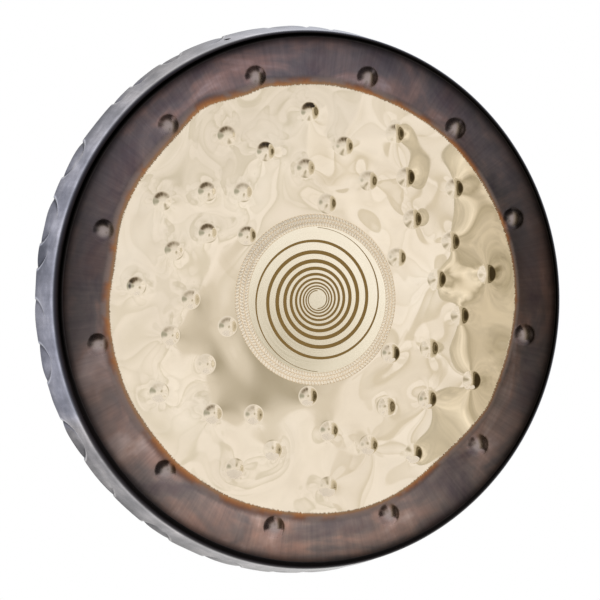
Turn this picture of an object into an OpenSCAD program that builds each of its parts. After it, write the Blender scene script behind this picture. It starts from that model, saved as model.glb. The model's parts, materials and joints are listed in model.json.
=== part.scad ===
// Tam tam gong: one forged bronze sheet, split into its forged zones.
// Every zone is built lying flat, face up, with its back edge on z = 0, and
// stand_up() then turns the gong upright: face towards -Y, top towards +Z,
// with the origin at the centre of its bounding box.

/* [Overall] */
// Diameter over the back edge of the rim
overall_d = 804; // [780:4:860]
// Depth from the back edge to the front of the face
rim_depth = 70; // [55:1:100]
// Thickness of the bronze sheet
sheet_t = 2.2; // [1.6:0.1:3]

/* [Rim] */
// Outer radius of the bend between the face and the rim wall
bend_r = 11; // [7:0.5:16]
// How far the rim wall flares out towards the back, in degrees
flare_deg = 10.5; // [2:0.5:12]
// Width of the trimmed band along the back edge
back_edge_w = 6; // [4:0.5:12]

/* [Hanging holes] */
// Diameter of the two hanging holes in the rim wall
hang_hole_d = 10; // [6:0.5:14]
// Angle of each hanging hole from the top of the gong
hang_hole_deg = 18; // [12:1:30]
// Height of the hanging holes above the back edge, along the axis
hang_hole_h = 32; // [24:1:38]

/* [Face zones] */
// Outer radius of the polished face
polished_r = 312; // [300:1:313]
// Outer radius of the burnished band around it
burnished_r = 318; // [316:0.5:318]

/* [Bosses] */
// Diameter of one raised boss
boss_d = 27; // [20:0.5:30]
// Height of one boss above the sheet
boss_h = 5; // [3:0.5:9]
// Radius of the six bosses nearest the centre
boss_ring_1_r = 140; // [139:1:148]
// Radius of the second ring, of twelve bosses
boss_ring_2_r = 191; // [184:1:194]
// Radius of the third ring, of twelve bosses
boss_ring_3_r = 227; // [224:1:234]
// Radius of the fourth ring, of twelve bosses
boss_ring_4_r = 272; // [266:1:282]
// Radius of the twelve bosses on the oxidised ring
rim_boss_r = 334; // [334:1:345]

/* [Centre] */
// Outer radius of the knurled collar
collar_r = 124; // [116:1:124]
// Radius of the flat plate inside the collar
plate_r = 106; // [104:1:108]
// Height of the plate above the face
plate_rise = 7; // [4:0.5:10]

/* [Spiral] */
// Radius at which both spiral arms start
spiral_r = 104.3; // [90:0.1:104.5]
// Number of turns of each arm
spiral_turns = 5; // [3:0.25:5.5]
// Share of the radius that is left after each half turn
spiral_shrink = 0.811; // [0.78:0.001:0.84]
// Width of a line as a share of its radius, once it has swelled to the full
spiral_line = 0.091; // [0.03:0.001:0.1]
// Turns over which a line swells from a hairline to its full width
spiral_swell = 2; // [0.5:0.25:3]
// Depth of the engraved lines
spiral_depth = 0.5; // [0.3:0.1:0.8]

/* [Hidden] */
$fn = 96;

// Where the bosses were struck: each list gives, station by station around its
// ring, how many degrees the smith's mark lies past an even spacing.
boss_ring_1_drift = [11, 8, 4, 1, 10, 11];
boss_ring_2_drift = [9, 8, 5, 5, 6, 0, 0, -1, 0, 6, 5, 8];
boss_ring_3_drift = [7, 7, 4, 5, 2, -3, -2, 1, -2, 6, 5, 9];
boss_ring_4_drift = [8, 7, 3, 2, 0, -1, -4, -1, 3, 4, 4, 4];
rim_boss_drift = [6, 4, 1, 1, -3, -2, -4, 2, 4, 5, 5, 6];
// Angle of the first even station of each ring
boss_ring_1_start = 15;
boss_ring_2_start = 0;
boss_ring_3_start = 15;
boss_ring_4_start = 0;
rim_boss_start = 15;

// Depth of the whole gong, over the tallest thing that stands on the face
total_h = rim_depth + max(boss_h, plate_rise);
face_bottom = rim_depth - sheet_t;

// The bend: centre of its arc, and where the rim wall leaves it
bend_h = rim_depth - bend_r;
wall_top_h = bend_h + bend_r * sin(flare_deg);
wall_top_r = overall_d / 2 - wall_top_h * tan(flare_deg);
bend_centre_r = wall_top_r - bend_r * cos(flare_deg);
// Radial thickness of the slanted wall
wall_t = sheet_t / cos(flare_deg);
// Size of a cutting shape that reaches past the gong
beyond = overall_d;

// Shape of a boss: radius of its outer sphere, and the flat of sheet under it
boss_r = boss_d / 2;
boss_sphere_r = (boss_r * boss_r + boss_h * boss_h) / (2 * boss_h);
boss_centre_h = rim_depth + boss_h - boss_sphere_r;

// The collar slopes over this share of its width and is level over the rest
collar_slope_share = 0.6;
collar_top_r = collar_r - collar_slope_share * (collar_r - plate_r);
plate_h = rim_depth + plate_rise;

spiral_steps_per_turn = 32;
spiral_steps = round(spiral_turns * spiral_steps_per_turn);
// Share of the full width that a line has at its very start
spiral_line_start = 0.07;

// Outer radius of the rim wall at a height above the back edge
function wall_r(h) = overall_d / 2 - h * tan(flare_deg);
// Polar point, angle counter-clockwise as seen from the front
function polar(r, deg) = [r * cos(deg), r * sin(deg)];
// Even spacing plus hand drift, in degrees
function stations(start, drift) =
  [for (i = [0 : len(drift) - 1]) start + i * 360 / len(drift) + drift[i]];
// Radius of a spiral arm after t turns, how far its line has swelled there (0 to
// 1), and half the line's width
function arm_r(t) = spiral_r * pow(spiral_shrink, 2 * t);
function arm_swell(t) = 1 - pow(1 - min(1, t / spiral_swell), 2);
function arm_half_w(t) =
  0.5 * spiral_line * arm_r(t) * max(spiral_line_start, arm_swell(t));
// One edge of an arm: side is 1 for the outer edge and -1 for the inner one
function arm_edge(start, side) = [
  for (i = [0 : spiral_steps])
    let (t = i / spiral_steps_per_turn)
    polar(arm_r(t) + side * arm_half_w(t), start - 360 * t)
];
function reversed(list) = [for (i = [len(list) - 1 : -1 : 0]) list[i]];

module stand_up() {
  translate([0, total_h / 2, 0])
    rotate([90, 0, 0])
      children();
}

// Solid of revolution about the gong's axis
module ring(points) {
  rotate_extrude($fn = 180)
    polygon(points);
}

// The slanted wall from a height above the back edge up to the bend, where
// its end is square to its surface
module wall_above(h) {
  ring([
    [wall_r(h), h],
    [wall_top_r, wall_top_h],
    [wall_top_r - sheet_t * cos(flare_deg), wall_top_h - sheet_t * sin(flare_deg)],
    [wall_r(h) - wall_t, h]
  ]);
}

// The slanted wall from the back edge up to a height
module wall_below(h) {
  ring([
    [wall_r(0), 0],
    [wall_r(h), h],
    [wall_r(h) - wall_t, h],
    [wall_r(0) - wall_t, 0]
  ]);
}

// A flat annulus of the face sheet
module face_band(r0, r1) {
  ring([
    [r0, face_bottom],
    [r1, face_bottom],
    [r1, rim_depth],
    [r0, rim_depth]
  ]);
}

module at_stations(r, angles) {
  for (a = angles)
    translate(polar(r, a))
      children();
}

// Opening in the sheet that a boss fills
module boss_hole() {
  translate([0, 0, face_bottom - sheet_t])
    cylinder(r = boss_r, h = 3 * sheet_t);
}

// Hollow boss: a spherical cap as thick as the sheet, on a rim level with it
module boss() {
  difference() {
    union() {
      intersection() {
        translate([0, 0, boss_centre_h])
          sphere(r = boss_sphere_r);
        translate([0, 0, rim_depth])
          cylinder(r = boss_d, h = boss_d);
      }
      translate([0, 0, face_bottom])
        cylinder(r = boss_r, h = sheet_t);
    }
    translate([0, 0, boss_centre_h])
      sphere(r = boss_sphere_r - sheet_t);
  }
}

module hang_hole(side) {
  rotate([0, 0, 90 + side * hang_hole_deg])
    translate([wall_r(hang_hole_h), 0, hang_hole_h])
      rotate([0, 90 - flare_deg, 0])
        cylinder(d = hang_hole_d, h = 8 * sheet_t, center = true);
}

module back_edge() {
  color([0.36, 0.36, 0.40])
    stand_up()
      wall_below(back_edge_w);
}

module rim_wall() {
  color([0.45, 0.46, 0.52])
    stand_up()
      difference() {
        wall_above(back_edge_w);
        hang_hole(1);
        hang_hole(-1);
      }
}

// The bend: an arc of sheet that starts level with the face and ends where the
// slanted wall leaves it
module shoulder() {
  color([0.16, 0.15, 0.17])
    stand_up()
      rotate_extrude($fn = 180)
        translate([bend_centre_r, bend_h])
          intersection() {
            difference() {
              circle(r = bend_r);
              circle(r = bend_r - sheet_t);
            }
            polygon([
              [0, 0],
              beyond * [cos(flare_deg), sin(flare_deg)],
              [beyond, beyond],
              [0, beyond]
            ]);
          }
}

module oxide_ring() {
  color([0.27, 0.23, 0.23])
    stand_up()
      difference() {
        face_band(burnished_r, bend_centre_r);
        at_stations(rim_boss_r, stations(rim_boss_start, rim_boss_drift))
          boss_hole();
      }
}

module rim_bosses() {
  color([0.32, 0.28, 0.28])
    stand_up()
      at_stations(rim_boss_r, stations(rim_boss_start, rim_boss_drift))
        boss();
}

module burnished_band() {
  color([0.55, 0.36, 0.24])
    stand_up()
      face_band(polished_r, burnished_r);
}

module polished_face() {
  color([0.90, 0.84, 0.70])
    stand_up()
      difference() {
        face_band(collar_r, polished_r);
        at_stations(boss_ring_1_r, stations(boss_ring_1_start, boss_ring_1_drift))
          boss_hole();
        at_stations(boss_ring_2_r, stations(boss_ring_2_start, boss_ring_2_drift))
          boss_hole();
        at_stations(boss_ring_3_r, stations(boss_ring_3_start, boss_ring_3_drift))
          boss_hole();
        at_stations(boss_ring_4_r, stations(boss_ring_4_start, boss_ring_4_drift))
          boss_hole();
      }
}

module face_boss_ring(r, start, drift) {
  color([0.86, 0.78, 0.60])
    stand_up()
      at_stations(r, stations(start, drift))
        boss();
}

module boss_ring_1() {
  face_boss_ring(boss_ring_1_r, boss_ring_1_start, boss_ring_1_drift);
}

module boss_ring_2() {
  face_boss_ring(boss_ring_2_r, boss_ring_2_start, boss_ring_2_drift);
}

module boss_ring_3() {
  face_boss_ring(boss_ring_3_r, boss_ring_3_start, boss_ring_3_drift);
}

module boss_ring_4() {
  face_boss_ring(boss_ring_4_r, boss_ring_4_start, boss_ring_4_drift);
}

// Raised step that carries the punched rows
module knurled_collar() {
  color([0.88, 0.82, 0.70])
    stand_up()
      ring([
        [collar_r, face_bottom],
        [collar_r, rim_depth],
        [collar_top_r, plate_h],
        [plate_r, plate_h],
        [plate_r, plate_h - sheet_t],
        [collar_top_r, plate_h - sheet_t]
      ]);
}

module spiral_line_solid(start) {
  translate([0, 0, plate_h - spiral_depth])
    linear_extrude(spiral_depth)
      polygon(concat(arm_edge(start, 1), reversed(arm_edge(start, -1))));
}

module centre_plate() {
  color([0.89, 0.84, 0.73])
    stand_up()
      difference() {
        translate([0, 0, plate_h - sheet_t])
          cylinder(r = plate_r, h = sheet_t);
        spiral_line_solid(90);
        spiral_line_solid(270);
      }
}

module spiral_arm_a() {
  color([0.51, 0.42, 0.24])
    stand_up()
      spiral_line_solid(90);
}

module spiral_arm_b() {
  color([0.51, 0.42, 0.24])
    stand_up()
      spiral_line_solid(270);
}

back_edge();
rim_wall();
shoulder();
oxide_ring();
rim_bosses();
burnished_band();
polished_face();
boss_ring_1();
boss_ring_2();
boss_ring_3();
boss_ring_4();
knurled_collar();
centre_plate();
spiral_arm_a();
spiral_arm_b();
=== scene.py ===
"""Looks of the tam tam gong: one forged bronze sheet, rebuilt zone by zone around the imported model."""

import json
import math

import bpy
import numpy as np
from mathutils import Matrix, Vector
from mathutils.geometry import delaunay_2d_cdt


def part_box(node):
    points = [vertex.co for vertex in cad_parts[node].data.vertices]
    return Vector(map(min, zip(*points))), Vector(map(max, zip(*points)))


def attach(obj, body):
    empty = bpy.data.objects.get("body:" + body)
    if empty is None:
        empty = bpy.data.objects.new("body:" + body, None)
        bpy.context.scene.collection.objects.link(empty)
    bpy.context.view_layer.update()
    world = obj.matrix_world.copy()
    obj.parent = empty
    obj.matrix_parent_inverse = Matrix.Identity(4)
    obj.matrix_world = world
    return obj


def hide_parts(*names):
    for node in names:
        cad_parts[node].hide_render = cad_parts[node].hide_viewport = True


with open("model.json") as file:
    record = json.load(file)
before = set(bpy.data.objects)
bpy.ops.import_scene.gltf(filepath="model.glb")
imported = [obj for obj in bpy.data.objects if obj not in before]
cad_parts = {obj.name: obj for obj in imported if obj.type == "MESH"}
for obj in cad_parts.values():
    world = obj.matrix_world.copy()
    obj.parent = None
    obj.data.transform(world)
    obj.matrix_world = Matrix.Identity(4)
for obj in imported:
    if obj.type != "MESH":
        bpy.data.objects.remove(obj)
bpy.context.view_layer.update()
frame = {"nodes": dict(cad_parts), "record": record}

MM = 0.001
TAU = 2 * math.pi

# -------- sizes read from the frame
BACK_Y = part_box("back_edge")[1].y          # plane of the open back edge
FACE_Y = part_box("polished_face")[0].y      # front of the face sheet
SHEET_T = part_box("polished_face")[1].y - FACE_Y
THROUGH_SHEET = np.array([0, SHEET_T, 0])  # from its front skin to its back
POLISHED_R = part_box("polished_face")[1].x
BURNISHED_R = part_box("burnished_band")[1].x
COLLAR_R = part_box("knurled_collar")[1].x
PLATE_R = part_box("centre_plate")[1].x
PLATE_RISE = FACE_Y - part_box("centre_plate")[0].y
RING_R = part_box("oxide_ring")[1].x         # where the bend starts
BACK_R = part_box("back_edge")[1].x          # outer radius at the back edge
WALL_TOP_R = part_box("shoulder")[1].x       # widest place of the bend
BOSS_H = FACE_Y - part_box("rim_bosses")[0].y

# -------- sizes of the visible surface
FLARE = math.radians(10.5)                 # slant of the rim wall
BEND_R = (WALL_TOP_R - RING_R) / math.cos(FLARE)
EDGE_W = 6 * MM                            # trimmed band along the back edge
BOSS_REACH = 15 * MM                       # where the flank of a face boss runs out
RIM_BOSS_REACH = 18 * MM                   # and of a boss on the dark ring
BOSS_PATCH_R = 15.5 * MM                   # outline of a boss piece
SKIRT_H = 2.2 * MM                         # the sheet pulled up around a boss
SKIRT_TIP = 3 * MM                         # rounding of that pull at the boss
SKIRT_REACH = 26 * MM                      # and how far out it is felt
DISH = 2.0 * MM                            # dip of the sheet along the edge of the polished face
SPIRAL_R = 104.3 * MM
SPIRAL_TURNS = 5
SPIRAL_SHRINK = 0.811                      # of the radius, each half turn
SPIRAL_LINE = 0.107                        # line width as a share of the radius
SPIRAL_SWELL = 2                           # turns over which the line swells
KNURL_ROWS = 3
KNURL_MARKS = 156                          # beads in each row

rng = np.random.default_rng(7)


def smoothstep(x, lo, hi):
    t = np.clip((x - lo) / (hi - lo), 0, 1)
    return t * t * (3 - 2 * t)


def polar(r, angle):
    return np.stack([r * np.cos(angle), r * np.sin(angle)], -1)


# -------- the front surface
def boss_centres(node):
    """Centres, as (x, z), of the separate bosses in a CAD node."""
    left = np.array([(v.co.x, v.co.z) for v in frame["nodes"][node].data.vertices])
    found = []
    while len(left):
        near = np.hypot(*(left - left[0]).T) < 40 * MM
        mine = left[near]
        found.append((mine.min(0) + mine.max(0)) / 2)
        left = left[~near]
    found.sort(key=lambda c: math.atan2(c[1], c[0]))
    return np.array(found)


FACE_RINGS = ["boss_ring_1", "boss_ring_2", "boss_ring_3", "boss_ring_4"]
RING_CENTRES = {name: boss_centres(name) for name in FACE_RINGS + ["rim_bosses"]}
FACE_BOSSES = np.concatenate([RING_CENTRES[n] for n in FACE_RINGS])
RIM_BOSSES = RING_CENTRES["rim_bosses"]
# Height of each bell over the sheet around it; those by the collar are driven up further
FACE_LIFT = rng.uniform(0.36, 0.46, len(FACE_BOSSES)) * BOSS_H
FACE_LIFT[:len(RING_CENTRES["boss_ring_1"])] *= 1.3
RIM_LIFT = rng.uniform(0.92, 1.0, len(RIM_BOSSES)) * BOSS_H

# Broad hammer waves left in the sheet: heading, wavelength and phase of each
WAVES = [
    (rng.uniform(0, TAU), rng.uniform(70, 210) * MM, rng.uniform(0, TAU))
    for _ in range(26)
]
WAVE_SLOPE = 0.0055                        # steepness of every wave


def sheet_waves(x, z):
    total = np.zeros_like(x)
    for heading, length, phase in WAVES:
        k = TAU / length
        along = x * math.cos(heading) + z * math.sin(heading)
        total += WAVE_SLOPE / k * np.sin(k * along + phase)
    return total


def rim_bells(x, z):
    """The steep round bosses of the dark ring, as a share of BOSS_H."""
    share = np.zeros_like(x)
    for (cx, cz), lift in zip(RIM_BOSSES, RIM_LIFT):
        d = np.hypot(x - cx, z - cz)
        share += lift / BOSS_H * np.clip(1 - (d / RIM_BOSS_REACH) ** 2, 0, 1) ** 1.5
    return share


def face_height(x, z):
    """Height of the front of the sheet over its mean plane, towards the player."""
    r = np.hypot(x, z)
    sheet = sheet_waves(x, z) - 0.7 * SKIRT_H
    bells = BOSS_H * rim_bells(x, z)
    for (cx, cz), lift in zip(FACE_BOSSES, FACE_LIFT):
        d = np.hypot(x - cx, z - cz)
        sheet = sheet + SKIRT_H * np.exp((SKIRT_TIP - np.hypot(d, SKIRT_TIP)) / SKIRT_REACH)
        bells += lift * np.clip(1 - (d / BOSS_REACH) ** 2, 0, 1) ** 1.5
    sheet = sheet - DISH * smoothstep(r, 220 * MM, 322 * MM)
    calm = smoothstep(r, COLLAR_R, COLLAR_R + 45 * MM) * (1 - smoothstep(r, RING_R - 50 * MM, RING_R))
    return calm * sheet + bells


def lifted(points, height):
    """Front points and normals of a height field over (x, z) points."""
    x, z = points[:, 0], points[:, 1]
    h = height(x, z)
    step = 0.05 * MM
    slope_x = (height(x + step, z) - height(x - step, z)) / (2 * step)
    slope_z = (height(x, z + step) - height(x, z - step)) / (2 * step)
    front = np.stack([x, FACE_Y - h, z], -1)
    normal = np.stack([-slope_x, -np.ones_like(x), -slope_z], -1)
    return front, normal / np.linalg.norm(normal, axis=1, keepdims=True)


# -------- building meshes
def build(name, verts, groups, material, replaced, attributes=None):
    """A piece from face groups of (faces, normals by vertex or None for flat sides). It stands for
    the CAD nodes named in replaced."""
    faces = [f for group, _ in groups for f in group]
    mesh = bpy.data.meshes.new(name)
    mesh.from_pydata(verts.tolist(), [], faces)
    mesh.polygons.foreach_set("use_smooth", np.ones(len(faces), bool))
    index = np.zeros(len(mesh.loops), np.int32)
    mesh.loops.foreach_get("vertex_index", index)
    flat = np.zeros(len(faces) * 3, np.float32)
    mesh.polygons.foreach_get("normal", flat)
    sizes = np.array([len(f) for f in faces])
    normals = np.repeat(flat.reshape(-1, 3), sizes, axis=0)
    start = 0
    for group, by_vertex in groups:
        count = sum(len(f) for f in group)
        if by_vertex is not None:
            normals[start:start + count] = by_vertex[index[start:start + count]]
        start += count
    mesh.normals_split_custom_set(normals.tolist())
    for key, values in (attributes or {}).items():
        layer = mesh.attributes.new(key, "FLOAT", "POINT")
        layer.data.foreach_set("value", np.asarray(values, np.float32))
    mesh.materials.append(material)
    obj = bpy.data.objects.new(name, mesh)
    bpy.context.scene.collection.objects.link(obj)
    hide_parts(*replaced)
    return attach(obj, "root")


def two_sided(front, normal, faces, loops, back_shift):
    """Closes a front skin into a sheet: vertices, face groups and the back skin's own normals."""
    count = len(front)
    verts = np.concatenate([front, front + back_shift])
    skin = np.concatenate([normal, -normal])
    back = [tuple(i + count for i in reversed(f)) for f in faces]
    sides = []
    for loop in loops:
        for a, b in zip(loop, np.roll(loop, -1)):
            sides.append((int(b), int(a), int(a) + count, int(b) + count))
    return verts, [(list(faces), skin), (back, skin), (sides, None)]


def ring_grid(rows, segments):
    """Quads of a closed grid of rows by segments, rows running inwards."""
    faces = []
    for i in range(rows - 1):
        for j in range(segments):
            k = (j + 1) % segments
            at, below = i * segments, (i + 1) * segments
            faces.append((at + j, at + k, below + k, below + j))
    return faces


def plan_mesh(outer, inner, circles, spacing, inside, row_step=None):
    """Triangles over a plan region between closed loops. Returns points, triangles and loop indices."""
    loops = [outer] + ([inner] if inner is not None else []) + circles
    points = np.concatenate(loops)
    edges, starts, at = [], [], 0
    for loop in loops:
        n = len(loop)
        edges += [(at + i, at + (i + 1) % n) for i in range(n)]
        starts.append(np.arange(at, at + n))
        at += n
    lo, hi = outer.min(0), outer.max(0)
    rows = np.arange(lo[1], hi[1], row_step or spacing * math.sqrt(3) / 2)
    columns = np.arange(lo[0], hi[0], spacing)
    grid = np.concatenate([
        np.stack([columns + spacing / 2 * (i % 2), np.full(len(columns), row)], -1)
        for i, row in enumerate(rows)
    ])
    grid = grid[inside(grid, 0.5 * spacing)]
    every = np.concatenate([points, grid])
    out = delaunay_2d_cdt([Vector(p) for p in every.tolist()], edges, [], 0, 1e-7)
    co = np.array([tuple(v) for v in out[0]])
    tris = np.array([f for f in out[2] if len(f) == 3])
    tris = tris[inside(co[tris].mean(1), 0)]
    return co, tris, starts


def circle_plan(centre, radius, segments):
    return np.asarray(centre) + polar(radius, -np.arange(segments) * TAU / segments)


# -------- outlines on the face
# Where the smith's scraper wandered: angle, half width (degrees) and change of radius (mm)
SCRAPES = [(12, 25, 4), (77, 14, -2), (122, 7, 9), (104, 4, 4), (148, 12, 3), (170, 8, -6), (262, 25, -2),
           (312, 14, -8), (330, 5, 2), (228, 5, 2)]


def polish_edge(angle):
    """Radius to which the face is scraped and polished."""
    degrees = np.degrees(angle) % 360
    r = np.full_like(degrees, POLISHED_R)
    for at, width, change in SCRAPES:
        off = (degrees - at + 180) % 360 - 180
        r = r + change * MM * np.exp(-(off / width) ** 2)
    return r + 0.8 * MM * np.sin(9 * angle + 1)


def band_width(angle):
    """Width of the burnished band: 15 mm on the left and 8 mm on the right."""
    return (12.5 - 3.5 * np.cos(angle) - np.cos(2 * angle)) * MM


def finish_attributes(x, z):
    """What the face's finish goes by: millimetres past the polished edge, and share of the band."""
    angle = np.arctan2(z, x)
    past = np.hypot(x, z) - polish_edge(angle)
    return {"past_edge": past / MM, "band": past / band_width(angle), "crown": rim_bells(x, z)}


EDGE_STEPS = 900
SHEET_SPACING, BAND_SPACING = 2.8 * MM, 1.6 * MM


def face_outline(radius):
    return polar(radius, np.arange(EDGE_STEPS) * TAU / EDGE_STEPS)


def between(inner, outer, centres):
    """Test for points between two radii and outside the boss pieces."""
    def inside(points, margin):
        r = np.hypot(*points.T)
        ok = (r > inner + margin) & (r < outer - margin)
        for c in centres:
            ok &= np.hypot(*(points - c).T) > BOSS_PATCH_R + margin
        return ok
    return inside


BOSS_SEGMENTS, BOSS_ROWS = 56, 16


def sheet_zone(name, inner, outer, centres, spacing, material, replaced):
    """One zone of the face sheet, with round openings where its bosses rise."""
    circles = [circle_plan(c, BOSS_PATCH_R, BOSS_SEGMENTS) for c in centres]
    plan, tris, loops = plan_mesh(
        face_outline(outer), face_outline(inner)[::-1], circles, spacing, between(inner, outer, centres))
    front, normal = lifted(plan, face_height)
    faces = [tuple(t) for t in tris.tolist()]
    verts, groups = two_sided(front, normal, faces, loops, THROUGH_SHEET)
    attributes = finish_attributes(verts[:, 0], verts[:, 2])
    return build(name, verts, groups, material, replaced, attributes)


def boss_group(name, centres, material, replaced):
    """The raised bosses of one ring, each a hollow shell of its own."""
    radii = BOSS_PATCH_R * (1 - (np.arange(BOSS_ROWS) / BOSS_ROWS) ** 1.15)
    angles = np.arange(BOSS_SEGMENTS) * TAU / BOSS_SEGMENTS
    last = (BOSS_ROWS - 1) * BOSS_SEGMENTS
    tip = last + BOSS_SEGMENTS
    faces = ring_grid(BOSS_ROWS, BOSS_SEGMENTS)
    faces += [(last + j, last + (j + 1) % BOSS_SEGMENTS, tip) for j in range(BOSS_SEGMENTS)]
    verts, normals, parts = [], [], ([], [], [])
    at = 0
    for c in centres:
        plan = np.concatenate([np.asarray(c) + polar(r, angles) for r in radii] + [np.asarray(c)[None]])
        front, normal = lifted(plan, face_height)
        shell, groups = two_sided(front, normal, faces, [np.arange(BOSS_SEGMENTS)], THROUGH_SHEET)
        verts.append(shell)
        normals.append(groups[0][1])
        for part, (group, _) in zip(parts, groups):
            part.extend(tuple(i + at for i in f) for f in group)
        at += len(shell)
    verts, skin = np.concatenate(verts), np.concatenate(normals)
    return build(name, verts, list(zip(parts, (skin, skin, None))), material, replaced,
                 finish_attributes(verts[:, 0], verts[:, 2]))


# -------- collar, plate and spiral
def knurl(r, angle):
    """Punched beads of the collar, 0 in the gaps and 1 on the tops, and the place across it."""
    s = (COLLAR_R - r) / (COLLAR_R - PLATE_R)
    row = np.clip(np.floor(s * KNURL_ROWS), 0, KNURL_ROWS - 1)
    across = s * KNURL_ROWS - row - 0.5
    lean = np.where(row % 2 == 0, 0.45, -0.45)
    along = angle / TAU * KNURL_MARKS + 0.5 * row + lean * across
    along = along - np.round(along)
    mark = np.clip(np.cos(math.pi * along), 0, 1) ** 0.7 * np.clip(np.cos(math.pi * across), 0, 1) ** 0.7
    return mark, s


def collar_height(r, angle):
    """Raised step with three punched rows, by radius and angle."""
    mark, s = knurl(r, angle)
    edge = smoothstep(s, 0, 0.04) * (1 - smoothstep(s, 0.97, 1.0))
    return PLATE_RISE * smoothstep(s, -0.05, 0.95) + 0.9 * MM * (mark - 1.03) * edge


def by_radius(height):
    """The height field over x and z of one that goes by radius and angle."""
    return lambda x, z: height(np.hypot(x, z), np.arctan2(z, x))


def polar_piece(name, radii, segments, height, material, replaced, closed_centre=False, marks=None):
    """A round sheet piece on a polar grid, its height given by radius and angle."""
    angles = np.arange(segments) * TAU / segments
    plan = np.concatenate([polar(r, angles) for r in radii] + ([np.zeros((1, 2))] if closed_centre else []))
    front, normal = lifted(plan, by_radius(height))
    faces = ring_grid(len(radii), segments)
    last = (len(radii) - 1) * segments
    loops = [np.arange(segments)]
    if closed_centre:
        tip = len(plan) - 1
        faces += [(last + j, last + (j + 1) % segments, tip) for j in range(segments)]
    else:
        loops.append(np.arange(last, last + segments)[::-1])
    verts, groups = two_sided(front, normal, faces, loops, THROUGH_SHEET)
    attributes = None
    if marks is not None:
        mark, _ = marks(np.hypot(verts[:, 0], verts[:, 2]), np.arctan2(verts[:, 2], verts[:, 0]))
        attributes = {"mark": mark}
    return build(name, verts, groups, material, replaced, attributes)


def plate_height(r, angle):
    """Nearly flat plate: only faint waves from the hammer."""
    x, z = r * np.cos(angle), r * np.sin(angle)
    waves = 0.12 * MM * np.sin(x / (19 * MM) + 1.0) * np.sin(z / (23 * MM))
    return PLATE_RISE - 0.20 * MM + waves * (1 - smoothstep(r, PLATE_R - 15 * MM, PLATE_R))


def line_height(r, angle):
    """The engraved lines are thin strips a hair above the plate, so that they show."""
    return plate_height(r, angle) + 0.06 * MM


def arm_radius(t):
    return SPIRAL_R * SPIRAL_SHRINK ** (2 * t)


def arm_half_width(t):
    swell = 1 - (1 - np.minimum(1, t / SPIRAL_SWELL)) ** 2
    return 0.5 * SPIRAL_LINE * arm_radius(t) * np.maximum(0.07, swell)


def spiral_arm(name, start, material, replaced):
    """One engraved line, winding clockwise to the eye of the plate."""
    steps = SPIRAL_TURNS * 160
    t = np.arange(steps + 1) * SPIRAL_TURNS / steps
    angle = start - TAU * t
    outer = polar(arm_radius(t) + arm_half_width(t), angle)
    inner = polar(arm_radius(t) - arm_half_width(t), angle)
    plan = np.concatenate([outer, inner])
    front, normal = lifted(plan, by_radius(line_height))
    n = steps + 1
    faces = [(i, n + i, n + i + 1, i + 1) for i in range(steps)]
    loop = np.concatenate([np.arange(n)[::-1], np.arange(n, 2 * n)])
    verts, groups = two_sided(front, normal, faces, [loop], np.array([0, 0.4 * MM, 0]))
    return build(name, verts, groups, material, replaced)


# -------- rim
WALL_TOP_H = BACK_Y - FACE_Y - BEND_R * (1 - math.sin(FLARE))
WALL_TOP = (BACK_R - WALL_TOP_H * math.tan(FLARE), WALL_TOP_H)
BEND_CENTRE_R = WALL_TOP[0] - BEND_R * math.cos(FLARE)
WALL_LENGTH = WALL_TOP_H / math.cos(FLARE)


def drawn_marks():
    """Tool marks on the wall: angle, lean, length and strength of each."""
    marks, at = [], 0.0
    while at < TAU:
        marks.append((at, rng.choice([-1, 1]), rng.uniform(20, 40) * MM, rng.uniform(0.6, 1.0)))
        at += math.radians(rng.uniform(4.5, 10.5))
    return marks


MARKS = drawn_marks()
MARK_DEPTH = 2.9 * MM
MARK_STEP = 1.7 * MM                       # half the width of the sharp side of a mark
MARK_RETURN = 9 * MM                       # over which the wall comes back out again


def tool_marks(angle, share):
    """For each mark, the distance past its line and its strength there."""
    up = (1 - share) * WALL_LENGTH
    for a, lean, length, strength in MARKS:
        along = ((angle - a + math.pi) % TAU - math.pi) * BACK_R
        hook = lean * 0.85 * length * (np.clip(up / length, 0, 1.2) ** 1.9)
        fade = 1 - smoothstep(up, 0.55 * length, length)
        yield (along - hook) * lean, strength * fade


def dent_depth(angle, share):
    """How far the hammer pushed the wall in: share is 0 at the bend and 1 at the back edge."""
    depth = np.zeros_like(angle)
    for off, strength in tool_marks(angle, share):
        step = smoothstep(off, -MARK_STEP, MARK_STEP)
        depth = depth + MARK_DEPTH * strength * step * np.exp(-np.clip(off, 0, None) / MARK_RETURN)
    low = 0.35 * MM * (1 + np.sin(9 * angle + 1) * np.cos(3 * share))
    low = low + 0.25 * MM * np.sin(31 * angle) * share
    return (depth + low) * smoothstep(share, 0, 0.4)


def mark_shade_and_glint(angle, share):
    """Painted shade in the line of each tool mark and thinly behind it, and a painted glint beside it."""
    soot, lip = np.zeros_like(angle), np.zeros_like(angle)
    for off, strength in tool_marks(angle, share):
        # painted shade along the line of each mark
        line = np.exp(-((off - 2.4 * MM) / (2.8 * MM)) ** 2)
        haze = 0.4 * smoothstep(off, 0, 3 * MM) * np.exp(-np.clip(off, 0, None) / MARK_RETURN)
        soot = np.maximum(soot, strength * np.maximum(line, haze))
        # painted glint beside each mark
        lip = np.maximum(lip, strength * np.exp(-((off + 2.6 * MM) / (1.5 * MM)) ** 2))
    return {"soot": soot, "lip": lip}


def wall_point(angle, share, inner=False):
    """Point on the slanted wall, with its hammer dents."""
    push = dent_depth(angle, share)
    if inner:
        push = push + SHEET_T
    r = WALL_TOP[0] + (BACK_R - WALL_TOP[0]) * share - push * math.cos(FLARE)
    h = WALL_TOP[1] * (1 - share) - push * math.sin(FLARE)
    return np.stack([r * np.cos(angle), BACK_Y - np.maximum(h, 0), r * np.sin(angle)], -1)


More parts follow.
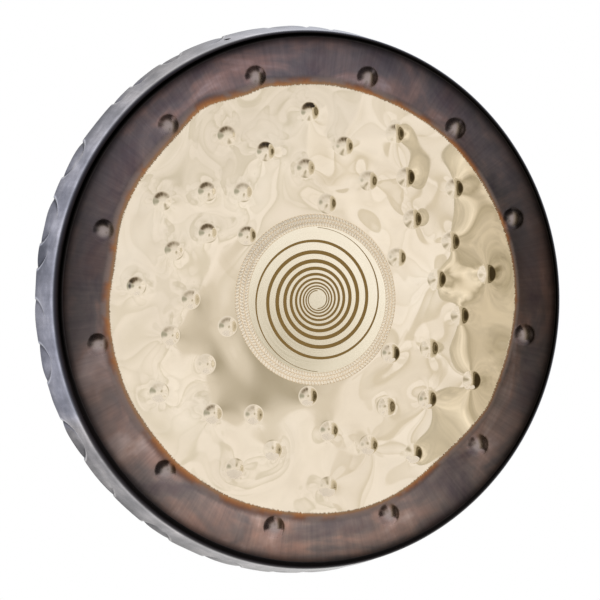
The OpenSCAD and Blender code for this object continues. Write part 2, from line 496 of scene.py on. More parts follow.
def surface_normal(point_at, angle, share):
    e = 1e-4
    da = point_at(angle + e, share) - point_at(angle - e, share)
    ds = point_at(angle, share + e) - point_at(angle, share - e)
    n = np.cross(ds, da)
    out = np.stack([np.cos(angle), np.zeros_like(angle), np.sin(angle)], -1)
    n *= np.sign((n * out).sum(1, keepdims=True) + 1e-12)
    return n / np.linalg.norm(n, axis=1, keepdims=True)


HOLE_ANGLES = (math.radians(72), math.radians(108))


def hole_share():
    """Where along the wall the hanging holes sit, from the mount's own place."""
    mount = next(m for m in frame["record"]["mounts"] if m["name"] == "hang_hole_left")
    return 1 - (BACK_Y - mount["pos_m"][1]) / WALL_TOP_H, mount["dims"]["r_mm"] * MM


WALL_STEPS = (1600, 24)                    # points around the wall's outline, and along its seam
WALL_SPACING, WALL_ROW_STEP = 1.5 * MM, 2.3 * MM
HOLE_SEGMENTS = 32


def wall_plan():
    """Triangles over the flat development of the wall, open at its two hanging holes."""
    end = 1 - EDGE_W / WALL_LENGTH
    turn = TAU * BACK_R
    share_h, hole_r = hole_share()
    n_u, n_v = WALL_STEPS
    bottom = np.stack([np.arange(n_u) / n_u * turn, np.zeros(n_u)], -1)
    right = np.stack([np.full(n_v, turn), np.arange(n_v) / n_v * end * WALL_LENGTH], -1)
    top = np.stack([turn - np.arange(n_u) / n_u * turn, np.full(n_u, end * WALL_LENGTH)], -1)
    left = np.stack([np.zeros(n_v), end * WALL_LENGTH * (1 - np.arange(n_v) / n_v)], -1)
    outer = np.concatenate([bottom, right, top, left])
    centres = [np.array([a * BACK_R, share_h * WALL_LENGTH]) for a in HOLE_ANGLES]
    circles = [circle_plan(c, hole_r, HOLE_SEGMENTS) for c in centres]

    def inside(p, margin):
        ok = (p[:, 0] > margin) & (p[:, 0] < turn - margin)
        ok &= (p[:, 1] > margin) & (p[:, 1] < end * WALL_LENGTH - margin)
        for c in centres:
            ok &= np.hypot(*(p - c).T) > hole_r + margin
        return ok

    return plan_mesh(outer, None, circles, WALL_SPACING, inside, row_step=WALL_ROW_STEP)


def wall_sides(loops, angle):
    """Narrow faces between the two skins, but none on the seam where the development closes."""
    count = len(angle)
    sides = []
    for loop in loops:
        for i, j in zip(loop, np.roll(loop, -1)):
            on_seam = abs(angle[i] % TAU) < 1e-6 and abs(angle[j] % TAU) < 1e-6
            on_seam = on_seam or (abs(angle[i] - TAU) < 1e-6 and abs(angle[j] - TAU) < 1e-6)
            if not on_seam:
                sides.append((int(j), int(i), int(i) + count, int(j) + count))
    return sides


def welded(verts, face_lists):
    """Merges vertices in one place: the indices of those kept, and the faces renumbered to them."""
    where = {}
    remap = np.arange(len(verts))
    for i, v in enumerate(np.round(verts, 7).tolist()):
        remap[i] = where.setdefault(tuple(v), i)
    used = np.unique(remap)
    compact = np.full(len(verts), -1)
    compact[used] = np.arange(len(used))
    return used, [[tuple(int(compact[remap[i]]) for i in f) for f in faces] for faces in face_lists]


def rim_wall(material):
    """Hammered wall with its two hanging holes, from a flat development of the cone."""
    plan, tris, loops = wall_plan()
    angle, share = plan[:, 0] / BACK_R, plan[:, 1] / WALL_LENGTH
    front = wall_point(angle, share)
    back = wall_point(angle, share, inner=True)
    normal = surface_normal(wall_point, angle, share)
    faces = [tuple(t) for t in tris.tolist()]
    a, b, c = (front[tris[:, i]] for i in range(3))
    outward = (np.cross(b - a, c - a) * normal[tris[:, 0]]).sum(1)
    if np.median(outward) < 0:
        faces = [f[::-1] for f in faces]
        loops = [loop[::-1] for loop in loops]
    verts = np.concatenate([front, back])
    skin = np.concatenate([normal, -normal])
    back_faces = [tuple(i + len(front) for i in reversed(f)) for f in faces]
    used, (outer, inner, sides) = welded(verts, [faces, back_faces, wall_sides(loops, angle)])
    finish = mark_shade_and_glint(np.tile(angle, 2)[used], np.tile(share, 2)[used])
    groups = [(outer, skin[used]), (inner, skin[used]), (sides, None)]
    return build("rim_wall_hammered", verts[used], groups, material, ["rim_wall"], finish)


def tube_piece(name, outer, inner, normals, material, replaced, attributes):
    """A closed ring from matching outer and inner rows of points around the gong."""
    rows, segments = outer.shape[:2]
    verts = np.concatenate([outer, inner]).reshape(-1, 3)
    skin = np.concatenate([normals, -normals]).reshape(-1, 3)
    count = rows * segments
    last = count - segments
    grid = ring_grid(rows, segments)
    back = [tuple(i + count for i in reversed(f)) for f in grid]
    sides = []
    for j in range(segments):
        k = (j + 1) % segments
        sides.append((k, j, j + count, k + count))
        sides.append((last + j, last + k, last + k + count, last + j + count))
    groups = [(grid, skin), (back, skin), (sides, None)]
    return build(name, verts, groups, material, replaced, attributes)


def back_edge(material):
    """Trimmed band of the wall, scalloped where the dents reach the edge."""
    segments, rows = 2000, 5
    angle = np.arange(segments) * TAU / segments
    start = 1 - EDGE_W / WALL_LENGTH
    trim = 0.012 * (1 + np.sin(37 * angle + 2 * np.sin(9 * angle)))
    # rows run from the back edge to the wall, which winds the grid outwards
    shares = np.stack([start + (1 - trim - start) * i / (rows - 1) for i in reversed(range(rows))])
    outer = np.stack([wall_point(angle, share) for share in shares])
    inner = np.stack([wall_point(angle, share, inner=True) for share in shares])
    normals = np.stack([surface_normal(wall_point, angle, share) for share in shares])
    finish = mark_shade_and_glint(np.tile(angle, rows), shares.reshape(-1))
    finish = {name: np.tile(values, 2) for name, values in finish.items()}
    return tube_piece("back_edge_band", outer, inner, normals, material, ["back_edge"], finish)


def shoulder(material):
    """The bend between wall and face: a swept arc."""
    segments, rows = 1200, 18
    angle, turn = np.meshgrid(np.arange(segments) * TAU / segments, np.linspace(FLARE, math.pi / 2, rows))
    normals = np.stack([np.cos(turn) * np.cos(angle), -np.sin(turn), np.cos(turn) * np.sin(angle)], -1)
    centre = np.stack([BEND_CENTRE_R * np.cos(angle), np.full_like(angle, FACE_Y + BEND_R),
                       BEND_CENTRE_R * np.sin(angle)], -1)
    bend = (turn - FLARE) / (math.pi / 2 - FLARE)
    outer, inner = centre + BEND_R * normals, centre + (BEND_R - SHEET_T) * normals
    return tube_piece("shoulder_bend", outer, inner, normals, material, ["shoulder"],
                      {"bend": np.tile(bend.reshape(-1), 2)})


# -------- materials
class Nodes:
    """Short way to add and link shader nodes."""

    def __init__(self, tree):
        self.tree = tree

    def add(self, kind, **inputs):
        """A node. A key is an input's name, its number after i, or a property's name after _."""
        node = self.tree.nodes.new(kind)
        for key, value in inputs.items():
            if key.startswith("_"):
                setattr(node, key[1:], value)
                continue
            by_number = key[0] == "i" and key[1:].isdigit()
            socket = node.inputs[int(key[1:]) if by_number else key.replace("_", " ")]
            if isinstance(value, bpy.types.NodeSocket):
                self.tree.links.new(value, socket)
            else:
                socket.default_value = value
        return node

    def math(self, operation, a, b=0.0, c=0.0, clamp=False):
        return self.add("ShaderNodeMath", _operation=operation, _use_clamp=clamp, i0=a, i1=b, i2=c).outputs[0]

    def times(self, a, b):
        return self.math("MULTIPLY", a, b)

    def line(self, value, slope, start):
        return self.math("MULTIPLY_ADD", value, slope, start)

    def xyz(self, vector):
        return self.add("ShaderNodeSeparateXYZ", Vector=vector).outputs

    def vector(self, operation, a, b=(0, 0, 0)):
        node = self.add("ShaderNodeVectorMath", _operation=operation, i0=a, i1=b)
        return node.outputs[1] if operation in ("DOT_PRODUCT", "LENGTH") else node.outputs[0]

    def noise(self, vector, scale, detail=3.0, roughness=0.5, distortion=0.0):
        node = self.add("ShaderNodeTexNoise", Vector=vector, Scale=scale, Detail=detail, Roughness=roughness,
                        Distortion=distortion)
        return node.outputs["Fac"]

    def ramp(self, value, stops):
        node = self.add("ShaderNodeValToRGB", Fac=value)
        while len(node.color_ramp.elements) < len(stops):
            node.color_ramp.elements.new(0.5)
        for element, (at, colour) in zip(node.color_ramp.elements, stops):
            element.position = at
            element.color = (*colour, 1)
        return node.outputs[0]

    def grey_ramp(self, value, stops):
        return self.ramp(value, [(at, (g, g, g)) for at, g in stops])

    def attribute(self, name):
        return self.add("ShaderNodeAttribute", _attribute_name=name).outputs["Fac"]

    def mix(self, factor, a, b, blend="MIX"):
        node = self.add("ShaderNodeMix", _data_type="RGBA", _blend_type=blend, i0=factor)
        for value, index in ((a, 6), (b, 7)):
            if isinstance(value, bpy.types.NodeSocket):
                self.tree.links.new(value, node.inputs[index])
            else:
                node.inputs[index].default_value = (*value, 1)
        return node.outputs[2]


def metal(name):
    """A new metallic material: its nodes, its shader and its object coordinates."""
    material = bpy.data.materials.new(name)
    material.use_nodes = True
    nodes = Nodes(material.node_tree)
    shader = material.node_tree.nodes["Principled BSDF"]
    shader.inputs["Metallic"].default_value = 1.0
    place = nodes.add("ShaderNodeTexCoord").outputs["Object"]
    return material, nodes, shader, place


def reach(nodes, place):
    """Distance from the gong's axis."""
    return nodes.vector("LENGTH", nodes.vector("MULTIPLY", place, (1, 0, 1)))


def radial_noise(nodes, place, around, along, *detail):
    """Noise that runs around and along the gong's radius, with no seam."""
    unit = nodes.vector("NORMALIZE", nodes.vector("MULTIPLY", place, (1, 0, 1)))
    scaled = nodes.vector("MULTIPLY", unit, (around, 0, around))
    rise = nodes.add("ShaderNodeCombineXYZ", Y=nodes.times(reach(nodes, place), along)).outputs[0]
    return nodes.noise(nodes.vector("ADD", scaled, rise), 1.0, *detail)


def finish_shader(nodes, shader, colour, roughness, bump, strength):
    node = nodes.add("ShaderNodeBump", Strength=strength, Distance=MM, Height=bump)
    for socket, value in (("Base Color", colour), ("Roughness", roughness), ("Normal", node.outputs[0])):
        nodes.tree.links.new(value, shader.inputs[socket])


def stepped(nodes, value, lo, hi):
    """0 below lo, 1 above hi, and a smooth step between."""
    node = nodes.add("ShaderNodeMapRange", Value=value, i1=lo, i2=hi, _interpolation_type="SMOOTHSTEP")
    return node.outputs[0]


def faded(nodes, value, lo, hi):
    """1 below lo and 0 above hi."""
    return nodes.math("SUBTRACT", 1.0, stepped(nodes, value, lo, hi))


def ranged(nodes, value, lo, hi, at_lo, at_hi):
    """Runs evenly from at_lo to at_hi as the value goes from lo to hi."""
    return nodes.add("ShaderNodeMapRange", Value=value, i1=lo, i2=hi, i3=at_lo, i4=at_hi).outputs[0]


def shaded(nodes, colour, factor):
    """The colour times a number or another colour."""
    return nodes.mix(1.0, colour, factor, "MULTIPLY")


def polished_colour(nodes, place):
    cloud = nodes.noise(place, 9, 4, 0.55)
    return nodes.ramp(cloud, [
        (0.3, (0.83, 0.72, 0.585)), (0.55, (0.87, 0.762, 0.625)), (0.75, (0.90, 0.80, 0.67))])


def oxide_painted_light(nodes, x, upright, radius):
    """How pale the oxide is, all of it painted light and shade: paler low on the gong and to the left, as
    painted light, and black towards the bend, as painted shade.
    """
    # painted light: paler towards the bottom of the gong, and by x paler to the left
    low = nodes.grey_ramp(upright, [
        (0.02, 1.0), (0.13, 0.85), (0.25, 0.50), (0.4, 0.34), (0.5, 0.35), (0.65, 0.55), (0.78, 0.60)])
    low = nodes.times(low, ranged(nodes, x, -0.3, 0.36, 6.6, 3.9))
    # painted shade: black towards the bend
    outer = nodes.grey_ramp(radius, [(BURNISHED_R, 1.0), (RING_R - 26 * MM, 0.80), (RING_R - 10 * MM, 0.50),
                                    (RING_R - 2 * MM, 0.10)])
    return nodes.times(low, outer)


def oxide_colour_with_painted_light(nodes, place):
    """Brushed oxide: fine radial streaks over purple, grey and rust clouds, bluer at the top, under painted
    light that makes it paler low and to the left and black towards the bend.
    """
    streak = radial_noise(nodes, place, 26, 7, 4, 0.6)
    fibre = radial_noise(nodes, place, 90, 12, 3, 0.6)
    patch = radial_noise(nodes, place, 3.2, 16, 4, 0.55, 0.6)
    dark = nodes.ramp(streak, [
        (0.3, (0.046, 0.038, 0.040)), (0.55, (0.056, 0.045, 0.046)), (0.8, (0.070, 0.056, 0.055))])
    tint = nodes.ramp(patch, [(0.32, (0.66, 0.64, 0.72)), (0.47, (1.0, 1.0, 1.0)), (0.58, (1.5, 1.3, 1.2)),
                              (0.70, (2.1, 2.0, 1.95))])
    colour = shaded(nodes, dark, tint)
    x, _, z = nodes.xyz(place)
    upright = nodes.math("ADD", z, 0.4)
    cloud = nodes.noise(place, 9, 4, 0.6, 0.5)
    stain = nodes.ramp(cloud, [(0.35, (0.84, 0.89, 0.90)), (0.48, (0.98, 1, 1)), (0.64, (1.12, 1.0, 0.93))])
    colour = shaded(nodes, colour, stain)
    hue = nodes.ramp(upright, [(0.05, (1.04, 1.0, 0.94)), (0.4, (1, 1, 1)), (0.75, (1.0, 1.03, 1.16))])
    colour = shaded(nodes, colour, hue)
    # the paleness low and to the left and the black towards the bend are painted light and shade; the fibre
    # streaks are the oxide's own
    shade = nodes.times(oxide_painted_light(nodes, x, upright, reach(nodes, place)), nodes.line(fibre, 0.4, 0.8))
    return shaded(nodes, colour, shade), streak


def band_colour(nodes, place, band):
    """Heat colours of the burnished band, with rust where it was hottest."""
    heat = radial_noise(nodes, place, 5, 20, 3, 0.6)
    base = nodes.ramp(band, [
        (0.0, (0.13, 0.07, 0.035)), (0.09, (0.34, 0.20, 0.11)), (0.26, (0.28, 0.165, 0.105)),
        (0.45, (0.23, 0.165, 0.15)), (0.8, (0.18, 0.142, 0.135)), (1.0, (0.11, 0.09, 0.088))])
    rust = nodes.ramp(band, [
        (0.0, (0.30, 0.16, 0.07)), (0.10, (0.42, 0.20, 0.09)), (0.30, (0.33, 0.14, 0.06)),
        (0.6, (0.20, 0.10, 0.07)), (1.0, (0.08, 0.058, 0.056))])
    return nodes.mix(stepped(nodes, heat, 0.47, 0.62), base, rust)


def face_finish(name):
    """The whole face's finish: mirror polish, burnished band and brushed oxide, by the distance
    past the scraped edge. The crowns of the rim bosses are worn bright."""
    material, nodes, shader, place = metal(name)
    oxide, streak = oxide_colour_with_painted_light(nodes, place)
    ragged = radial_noise(nodes, place, 260, 90, 4, 0.75)
    wander = nodes.line(ragged, 10.0, -5.0)
    past = nodes.math("ADD", nodes.attribute("past_edge"), wander)
    band = nodes.line(ragged, 0.5, nodes.math("SUBTRACT", nodes.attribute("band"), 0.25))
    burnt = nodes.math("SMOOTH_MIN", band, 1.0, 0.1)
    is_band = stepped(nodes, past, -0.9, 0.7)
    is_oxide = stepped(nodes, band, 0.5, 1.25)
    colour = nodes.mix(is_band, polished_colour(nodes, place), band_colour(nodes, place, burnt))
    colour = nodes.mix(is_oxide, colour, oxide)
    crown = nodes.attribute("crown")
    worn = stepped(nodes, crown, 0.25, 1.0)
    steep = stepped(nodes, crown, 0.02, 0.15)
    colour = nodes.mix(nodes.times(worn, 0.85), colour, (0.36, 0.305, 0.30))
    fine = nodes.noise(place, 160, 3, 0.6)
    shine = nodes.line(fine, 0.035, 0.010)
    dull = nodes.times(nodes.line(streak, 0.3, 0.2), nodes.line(steep, -0.45, 1.0))
    roughness = nodes.math("ADD", nodes.times(is_band, nodes.math("SUBTRACT", dull, shine)), shine)
    scratch = nodes.times(is_band, streak)
    finish_shader(nodes, shader, colour, roughness, scratch, 0.10)
    return material


def collar_bronze():
    """Bright beads, with the gaps between them painted darker as painted shade."""
    material, nodes, shader, place = metal("punched bronze")
    cloud = nodes.noise(place, 40, 4, 0.6)
    mark = nodes.attribute("mark")
    # painted shade: darker and tanner in the gaps between the beads
    colour = nodes.ramp(mark, [
        (0.0, (0.78, 0.60, 0.40)), (0.35, (0.90, 0.76, 0.57)), (0.7, (0.95, 0.84, 0.68))])
    colour = shaded(nodes, colour, nodes.line(cloud, 0.16, 0.92))
    roughness = nodes.grey_ramp(cloud, [(0.3, 0.34), (0.7, 0.46)])
    finish_shader(nodes, shader, colour, roughness, nodes.noise(place, 900, 2), 0.05)
    shader.inputs["Metallic"].default_value = 0.45
    return material


def plate_bronze():
    material, nodes, shader, place = metal("satin bronze")
    cloud = nodes.noise(place, 14, 4, 0.55)
    colour = nodes.ramp(cloud, [(0.3, (0.97, 0.88, 0.735)), (0.7, (1.0, 0.92, 0.78))])
    lathe = radial_noise(nodes, place, 2.0, 900, 2)
    roughness = nodes.grey_ramp(lathe, [(0.3, 0.16), (0.7, 0.24)])
    finish_shader(nodes, shader, colour, roughness, lathe, 0.03)
    return material


def engraved_bronze():
    material, nodes, shader, place = metal("engraved line")
    cloud = nodes.noise(place, 60, 3)
    colour = nodes.ramp(cloud, [(0.3, (0.26, 0.165, 0.055)), (0.7, (0.32, 0.205, 0.075))])
    roughness = nodes.grey_ramp(cloud, [(0.3, 0.35), (0.7, 0.5)])
    finish_shader(nodes, shader, colour, roughness, nodes.noise(place, 700, 2), 0.1)
    return material


def shoulder_bronze():
    material, nodes, shader, place = metal("dark oxide and painted shade")
    streak = radial_noise(nodes, place, 30, 20, 4, 0.6)
    bend = nodes.math("ADD", nodes.attribute("bend"), nodes.line(streak, 0.12, -0.06))
    # dark oxide, painted near black across the middle of the bend as painted shade, lighter at both ends
    colour = nodes.ramp(bend, [
        (0.0, (0.055, 0.050, 0.056)), (0.10, (0.042, 0.037, 0.042)), (0.25, (0.032, 0.028, 0.033)),
        (0.42, (0.018, 0.015, 0.017)), (0.55, (0.005, 0.004, 0.004)), (0.90, (0.007, 0.006, 0.006)),
        (1.0, (0.026, 0.022, 0.023))])
    roughness = nodes.grey_ramp(streak, [(0.3, 0.14), (0.7, 0.24)])
    finish_shader(nodes, shader, colour, roughness, streak, 0.05)
    shader.inputs["Specular IOR Level"].default_value = 0.3
    return material


def rim_bronze():
    """Blue grey scale of the hammered wall: mottled, painted black at the bend as painted shade, painted
    bright beside that as a painted highlight, and darker towards the open back, with painted shade and
    painted glints along the tool marks."""
    material, nodes, shader, place = metal("hammered blue grey scale")
    cloud = nodes.noise(place, 16, 4, 0.6)
    streak = radial_noise(nodes, place, 20, 0, 4, 0.6)
    spots = nodes.noise(place, 70, 3, 0.6)
    colour = nodes.ramp(cloud, [
        (0.3, (0.14, 0.138, 0.155)), (0.5, (0.285, 0.275, 0.297)), (0.7, (0.49, 0.465, 0.48))])
    y = nodes.xyz(place)[1]
    # painted shade: black at the bend; painted highlight: the bright band beside it; then darker towards the
    # open back
    back = nodes.grey_ramp(nodes.math("DIVIDE", nodes.math("SUBTRACT", y, FACE_Y), BACK_Y - FACE_Y), [
        (0.135, 0.16), (0.175, 0.9), (0.205, 1.6), (0.33, 1.05), (0.6, 1.0), (1.0, 0.55)])
    shade = nodes.times(back, nodes.line(streak, 1.0, 0.5))
    shade = nodes.times(shade, nodes.line(spots, 0.6, 0.7))
    colour = shaded(nodes, colour, shade)
    # painted glint along the tool marks
    colour = nodes.mix(nodes.times(nodes.attribute("lip"), 0.75), colour, (0.86, 0.84, 0.85))
    # painted shade in the lines of the tool marks
    colour = nodes.mix(nodes.times(nodes.attribute("soot"), 0.9), colour, (0.025, 0.024, 0.030))
    roughness = nodes.grey_ramp(cloud, [(0.3, 0.13), (0.7, 0.26)])
    finish_shader(nodes, shader, colour, roughness, cloud, 0.12)
    return material


# -------- studio
CAMERA_AZIMUTH = math.radians(-20.3)
CAMERA_DISTANCE = 4.691
CAMERA_LENS = 194.4
CAMERA_SHIFT = (-15.9 / 600, -0.5 / 600)   # as shares of the picture's width


def camera():
    """The photograph's view: level, and a little from the left."""
    data = bpy.data.cameras.new("camera")
    data.lens = CAMERA_LENS
    data.sensor_width = 36
    cam = bpy.data.objects.new("camera", data)
    bpy.context.scene.collection.objects.link(cam)
    back = Vector((math.sin(CAMERA_AZIMUTH), -math.cos(CAMERA_AZIMUTH), 0))
    cam.location = Vector((0, FACE_Y, 0)) + back * CAMERA_DISTANCE
    cam.rotation_euler = (-back).to_track_quat("-Z", "Y").to_euler()
    data.shift_x, data.shift_y = CAMERA_SHIFT
    bpy.context.scene.camera = cam


CREAM, TAN = (1.0, 0.99, 0.965), (0.77, 0.735, 0.64)


def window(nodes, value, lo, hi, soft):
    """1 between lo and hi, fading over soft on both sides."""
    return nodes.times(stepped(nodes, value, lo - soft, lo), faded(nodes, value, hi, hi + soft))


def fold(nodes, place, scale, count, twist):
    """Shading of overlapping folds: a sharp dark edge that fades away on one side."""
    field = nodes.noise(place, scale, 1, 0.3, twist)
    ramp = nodes.math("FRACT", nodes.times(field, count))
    return nodes.grey_ramp(ramp, [
        (0.0, 0.0), (0.30, 0.05), (0.75, 0.45), (0.94, 1.0), (0.97, 0.9), (1.0, 0.0)])


def cloth(nodes, place, scale, shade=TAN):
    """Pale cloth with overlapping folds and a fine weave."""
    soft = nodes.noise(place, 0.55 * scale, 2, 0.5, 0.4)
    first = nodes.times(fold(nodes, place, scale, 5.0, 0.5), stepped(nodes, soft, 0.36, 0.56))
    second = nodes.times(fold(nodes, place, 1.9 * scale, 4.0, 0.5), 0.45)
    dark = nodes.math("ADD", first, second, clamp=True)
    colour = nodes.mix(nodes.times(dark, 0.95), CREAM, shade)
    weave = nodes.noise(place, 5 * scale, 4, 0.6, 0.8)
    level = nodes.math("ADD", nodes.line(soft, 0.20, 0.81), nodes.times(weave, 0.16))
    return shaded(nodes, colour, level)


WHITE, COOL = (0.95, 0.93, 0.90), (0.84, 0.88, 1.0)
# Colours of the surround by azimuth in degrees, 0 in front of the gong
SURROUND = [(-180, WHITE), (-150, COOL), (-115, COOL), (-85, WHITE), (-50, CREAM), (50, CREAM),
            (58, (0.80, 0.76, 0.66)), (70, (0.76, 0.73, 0.66)), (80, (0.85, 0.83, 0.80)), (90, WHITE),
            (115, COOL), (150, COOL), (180, WHITE)]


def tent(nodes, azimuth, height, at):
    """The surround, with cream cloth and a soft oval grey green spot in front of the gong."""
    along = nodes.line(azimuth, 1 / 360, 0.5)
    ring = nodes.ramp(along, [((a + 180) / 360, colour) for a, colour in SURROUND])
    ahead = window(nodes, azimuth, -40, 46, 8)
    ring = nodes.mix(ahead, ring, cloth(nodes, at, 0.15, (0.80, 0.785, 0.71)))
    ring = shaded(nodes, ring, ranged(nodes, height, -3, 6, 1.0, 0.93))
    spot = nodes.vector("MULTIPLY", nodes.vector("SUBTRACT", at, (-12, 3, 0)), (1 / 9, 1 / 18, 0))
    spot = faded(nodes, nodes.vector("LENGTH", spot), 0.15, 1.0)
    return nodes.mix(spot, ring, (0.44, 0.45, 0.38))


def vault(nodes, azimuth, height, at):
    """How much of the dark vault overhead shows, and its colour, darker upwards and outwards."""
    wobble = nodes.line(nodes.noise(at, 0.10, 3), 6.0, -3.0)
    away = nodes.vector("MULTIPLY", nodes.vector("SUBTRACT", at, (18, 0, 0)), (0.95, 1, 0))
    away = nodes.math("DIVIDE", nodes.math("ADD", nodes.vector("LENGTH", away), wobble), 100.0)
    shows = nodes.grey_ramp(away, [
        (0.17, 0.0), (0.225, 0.10), (0.265, 0.30), (0.295, 0.62), (0.32, 0.95), (0.36, 1.0),
        (0.75, 1.0), (0.85, 0.0)])
    upper = stepped(nodes, nodes.math("ADD", height, nodes.times(azimuth, 0.12)), 6, 19)
    upper = nodes.times(upper, window(nodes, azimuth, -80, 46, 8))
    gloom = nodes.ramp(away, [
        (0.26, (0.34, 0.28, 0.18)), (0.31, (0.17, 0.13, 0.075)), (0.36, (0.04, 0.033, 0.026))])
    return nodes.times(shows, upper), gloom


def studio_world():
    """White to the camera. Reflections see a cream tent in front of the gong, a dark opening to
    the left and a dark vault over it, and white walls behind."""
    world = bpy.data.worlds.new("studio")
    world.use_nodes = True
    bpy.context.scene.world = world
    world.node_tree.nodes.clear()
    nodes = Nodes(world.node_tree)
    direction = nodes.vector("NORMALIZE", nodes.add("ShaderNodeTexCoord").outputs["Generated"])
    x, y, z = nodes.xyz(direction)
    azimuth = nodes.times(nodes.math("ARCTAN2", x, nodes.times(y, -1.0)), 360 / TAU)
    height = nodes.times(nodes.math("ARCSINE", z), 360 / TAU)
    at = nodes.add("ShaderNodeCombineXYZ", X=azimuth, Y=height).outputs[0]
    shows, gloom = vault(nodes, azimuth, height, at)
    ring = nodes.mix(shows, tent(nodes, azimuth, height, at), gloom)
    opening = nodes.times(window(nodes, azimuth, -46, -19, 5), window(nodes, height, -10, 50, 8))
    ring = nodes.mix(opening, ring, (0.03, 0.028, 0.026))
    glossy = nodes.add("ShaderNodeLightPath").outputs["Is Glossy Ray"]
    plain = nodes.add("ShaderNodeBackground", Color=(1, 1, 1, 1), Strength=1.0).outputs[0]
    lit = nodes.add("ShaderNodeBackground", Color=ring, Strength=1.0).outputs[0]
    mixed = nodes.add("ShaderNodeMixShader", Fac=glossy, i1=plain, i2=lit).outputs[0]
    nodes.add("ShaderNodeOutputWorld", Surface=mixed)


CARD_AWAY, CARD_LOW = 0.755, -1.35         # both cards: distance in front of the face, and lower edge
PANEL_LEFT, PANEL_RIGHT, PANEL_HIGH = -0.05, 0.55, 0.42
ROOM_RIGHT, ROOM_HIGH = 2.2, 0.8           # the room card starts where the panel ends
PANEL_FOLD = (0.215, -CARD_AWAY, -0.090)   # middle of the low tan fold
# Colours of the olive room by x in metres
UPRIGHTS = [(0.55, (0.60, 0.565, 0.46)), (0.575, (0.72, 0.68, 0.57)), (0.60, (0.97, 0.93, 0.81)),
            (0.618, (0.76, 0.71, 0.59)), (0.625, (0.48, 0.44, 0.33)), (0.66, (0.70, 0.65, 0.53)),
            (0.71, (0.66, 0.61, 0.49)), (0.76, (0.47, 0.43, 0.32)), (0.80, (0.60, 0.55, 0.43)),
            (0.84, (0.26, 0.225, 0.14)), (0.90, (0.12, 0.095, 0.05)), (0.96, (0.27, 0.23, 0.145)),
            (1.02, (0.10, 0.08, 0.04)), (1.15, (0.045, 0.034, 0.016)), (1.6, (0.05, 0.038, 0.02)),
            (1.8, (0.30, 0.27, 0.20)), (2.2, (0.76, 0.72, 0.62))]


def card_nodes(name):
    material = bpy.data.materials.new(name)
    material.use_nodes = True
    material.node_tree.nodes.clear()
    nodes = Nodes(material.node_tree)
    place = nodes.add("ShaderNodeTexCoord").outputs["Object"]
    return material, nodes, place


def panel_light():
    """A near cloth: opaque to the right, and one low tan fold; clear elsewhere."""
    material, nodes, place = card_nodes("panel cloth")
    x = nodes.xyz(place)[0]
    wander = nodes.noise(place, 3.0, 3, 0.5, 0.5)
    edge = nodes.line(wander, 0.30, nodes.math("SUBTRACT", x, 0.15))
    strip = stepped(nodes, edge, 0.29, 0.302)
    spot = nodes.vector("MULTIPLY", nodes.vector("SUBTRACT", place, PANEL_FOLD), (6.0, 0, 5.4))
    spot = nodes.line(wander, 1.2, nodes.math("SUBTRACT", nodes.vector("LENGTH", spot), 0.6))
    patch = faded(nodes, spot, 0.80, 0.95)
    deep = faded(nodes, spot, 0.15, 0.85)
    colour = cloth(nodes, place, 5.5)
    tan = nodes.mix(deep, (0.80, 0.775, 0.70), (0.43, 0.40, 0.31))
    colour = nodes.mix(nodes.times(patch, 0.9), colour, tan)
    light = nodes.add("ShaderNodeEmission", Color=colour, Strength=1.0).outputs[0]
    clear = nodes.add("ShaderNodeBsdfTransparent").outputs[0]
    shows = nodes.math("MAXIMUM", strip, patch)
    mixed = nodes.add("ShaderNodeMixShader", Fac=shows, i1=clear, i2=light).outputs[0]
    nodes.add("ShaderNodeOutputMaterial", Surface=mixed)
    return material


def room_light():
    """The dim olive room beside the panel, with pale and dark uprights."""
    material, nodes, place = card_nodes("olive room")
    x = nodes.xyz(place)[0]
    bend = nodes.noise(nodes.vector("MULTIPLY", place, (4, 0, 8)), 1.0, 3, 0.55, 0.5)
    off = nodes.times(nodes.math("SUBTRACT", bend, 0.5), stepped(nodes, x, PANEL_RIGHT, 0.60))
    across = nodes.line(off, 0.18, x)
    span = ROOM_RIGHT - PANEL_RIGHT
    along = nodes.math("DIVIDE", nodes.math("SUBTRACT", across, PANEL_RIGHT), span)
    colour = nodes.ramp(along, [((at - PANEL_RIGHT) / span, c) for at, c in UPRIGHTS])
    streak = nodes.noise(nodes.vector("MULTIPLY", place, (90, 0, 30)), 1.0, 4, 0.65, 0.6)
    colour = shaded(nodes, colour, nodes.line(streak, 0.8, 0.62))
    light = nodes.add("ShaderNodeEmission", Color=colour, Strength=1.0).outputs[0]
    nodes.add("ShaderNodeOutputMaterial", Surface=light)
    return material


def flat_card(name, corners, material):
    mesh = bpy.data.meshes.new(name)
    mesh.from_pydata(corners, [], [tuple(range(len(corners)))])
    mesh.materials.append(material)
    obj = bpy.data.objects.new(name, mesh)
    bpy.context.scene.collection.objects.link(obj)
    return obj


def mirror_card(name, left, right, top, material):
    """An upright card in front of the gong which only its mirror finish sees."""
    y = FACE_Y - CARD_AWAY
    corners = [(left, y, CARD_LOW), (right, y, CARD_LOW), (right, y, top), (left, y, top)]
    obj = flat_card(name, corners, material)
    obj.visible_camera = False
    obj.visible_diffuse = False
    obj.visible_shadow = False


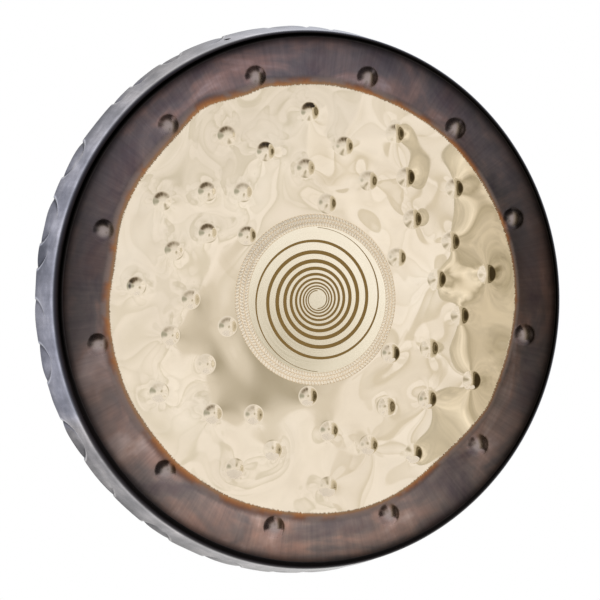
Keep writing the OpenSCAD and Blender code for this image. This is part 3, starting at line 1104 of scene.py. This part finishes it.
def mirror_cards():
    mirror_card("studio_panel", PANEL_LEFT, PANEL_RIGHT, PANEL_HIGH, panel_light())
    mirror_card("studio_room", PANEL_RIGHT, ROOM_RIGHT, ROOM_HIGH, room_light())


FLOOR_R, FLOOR_Z, FLOOR_SIDES = 1.2, -0.58, 96


def floor():
    rim = polar(FLOOR_R, np.arange(FLOOR_SIDES) * TAU / FLOOR_SIDES)
    corners = [(x, y, FLOOR_Z) for x, y in rim.tolist()]
    material = bpy.data.materials.new("pale floor")
    material.use_nodes = True
    shader = material.node_tree.nodes["Principled BSDF"]
    shader.inputs["Base Color"].default_value = (0.9, 0.89, 0.87, 1)
    shader.inputs["Roughness"].default_value = 0.7
    flat_card("studio_floor", corners, material)


# -------- put it together
def make_gong():
    """Every visible piece, with the material slot and the CAD node it stands for."""
    polished = face_finish("polished bronze")
    oxide = face_finish("brushed dark oxide")
    rim = rim_bronze()
    engraving = engraved_bronze()
    sheet_zone("polished_face_sheet", COLLAR_R, POLISHED_R, FACE_BOSSES, SHEET_SPACING,
               polished, ["polished_face"])
    for ring in FACE_RINGS:
        boss_group(ring + "_domes", RING_CENTRES[ring], polished, [ring])
    sheet_zone("burnished_band_ring", POLISHED_R, BURNISHED_R, [], BAND_SPACING,
               face_finish("burnished copper brown"), ["burnished_band"])
    sheet_zone("oxide_ring_sheet", BURNISHED_R, RING_R, RIM_BOSSES, SHEET_SPACING,
               oxide, ["oxide_ring"])
    boss_group("rim_boss_domes", RIM_BOSSES, oxide, ["rim_bosses"])
    polar_piece("knurled_collar_ring", np.linspace(COLLAR_R, PLATE_R, 37), 1350, collar_height,
                collar_bronze(), ["knurled_collar"], marks=knurl)
    polar_piece("centre_plate_disc", np.linspace(PLATE_R, 1.5 * MM, 54), 288, plate_height,
                plate_bronze(), ["centre_plate"], closed_centre=True)
    spiral_arm("spiral_line_a", math.radians(90), engraving, ["spiral_arm_a"])
    spiral_arm("spiral_line_b", math.radians(270), engraving, ["spiral_arm_b"])
    shoulder(shoulder_bronze())
    rim_wall(rim)
    back_edge(rim)


camera()
studio_world()
mirror_cards()
floor()
make_gong()
bpy.context.scene.view_settings.view_transform = "Standard"
